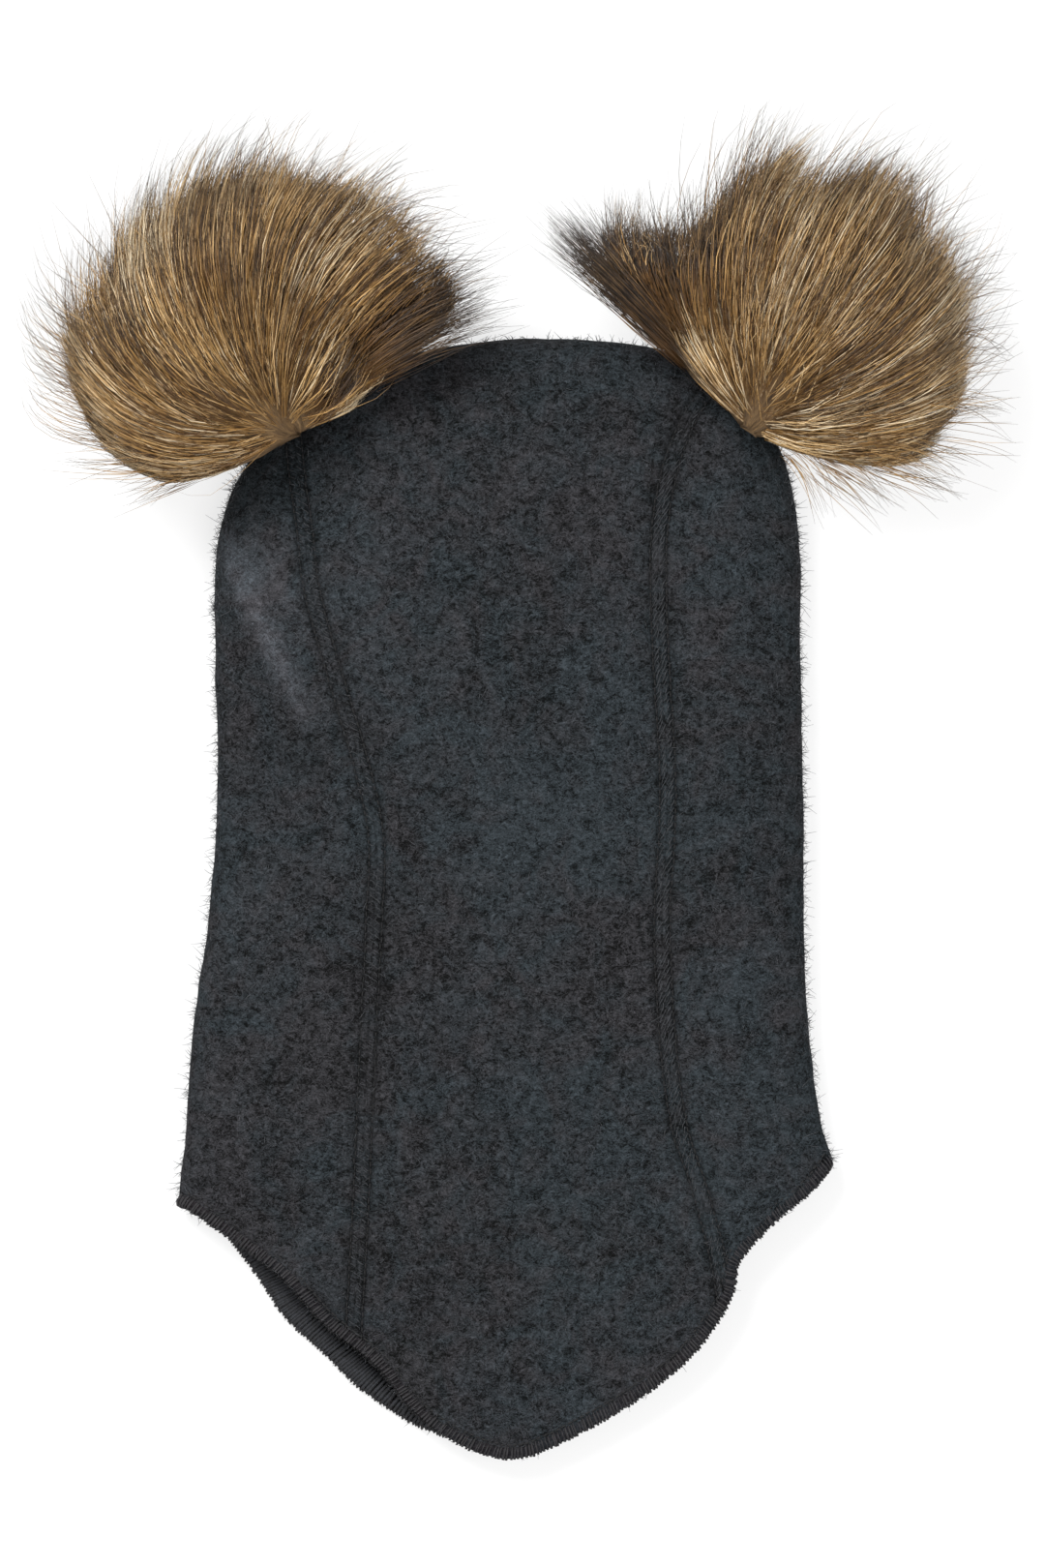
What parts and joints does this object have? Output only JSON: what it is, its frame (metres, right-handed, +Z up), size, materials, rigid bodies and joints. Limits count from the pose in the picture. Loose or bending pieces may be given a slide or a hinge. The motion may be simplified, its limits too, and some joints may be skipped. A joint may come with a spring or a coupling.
{
  "type": "baby balaclava hat",
  "caption": "Hood-shaped fleece baby hat lying flat, with an open face, a neck bib and a fur pompom at each upper corner as ears.",
  "frame": {"origin": "on the surface that the hat lies on, on its middle line, under the front of the neck between the face opening and the neck hem", "axes": "+X across the hat, to the right as seen from above; +Y from the neck hem to the crown; +Z up, from the face side to the back of the head"},
  "size_m": [0.3013, 0.4321, 0.085],
  "materials": {
    "fleece": "brushed melange wool fleece, matte",
    "overlock": "overlocked edge of the fleece in dark thread",
    "fur": "long soft fur, golden brown with dark tips"
  },
  "bodies": {
    "root": {"centre_panel": "fleece", "neck_panel": "fleece", "side_panel_left": "fleece", "side_panel_right": "fleece", "neck_hem": "overlock", "face_edge": "overlock", "pompom_left": "fur", "pompom_right": "fur"}
  },
  "joints": []
}
